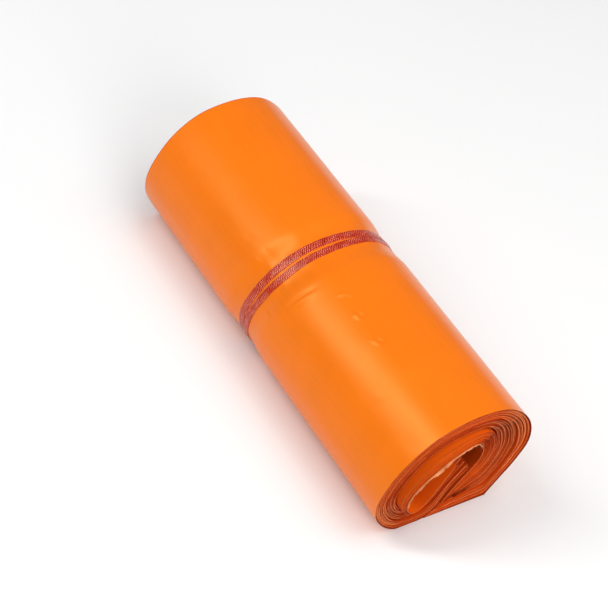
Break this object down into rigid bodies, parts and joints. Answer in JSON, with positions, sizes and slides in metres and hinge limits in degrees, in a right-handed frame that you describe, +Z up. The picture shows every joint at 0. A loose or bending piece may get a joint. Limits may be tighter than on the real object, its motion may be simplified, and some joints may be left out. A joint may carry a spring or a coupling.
{
  "type": "poly mailer roll",
  "caption": "Soft bundle of flat plastic mailing bags, rolled up with an open heart and tied round the middle with a narrow woven ribbon.",
  "frame": {"origin": "on the floor under the middle of the roll as it lies", "axes": "+X along the roll, which is the mailers' width; +Y across it towards the side where the outer bags crease under; +Z up"},
  "size_m": [0.256, 0.0937, 0.0772],
  "materials": {
    "film": "satin",
    "ribbon": "satin weave",
    "liner": "matte"
  },
  "bodies": {
    "root": {"mailer_roll": "film", "tie_ribbon": "ribbon", "release_liner": "liner"}
  },
  "joints": []
}
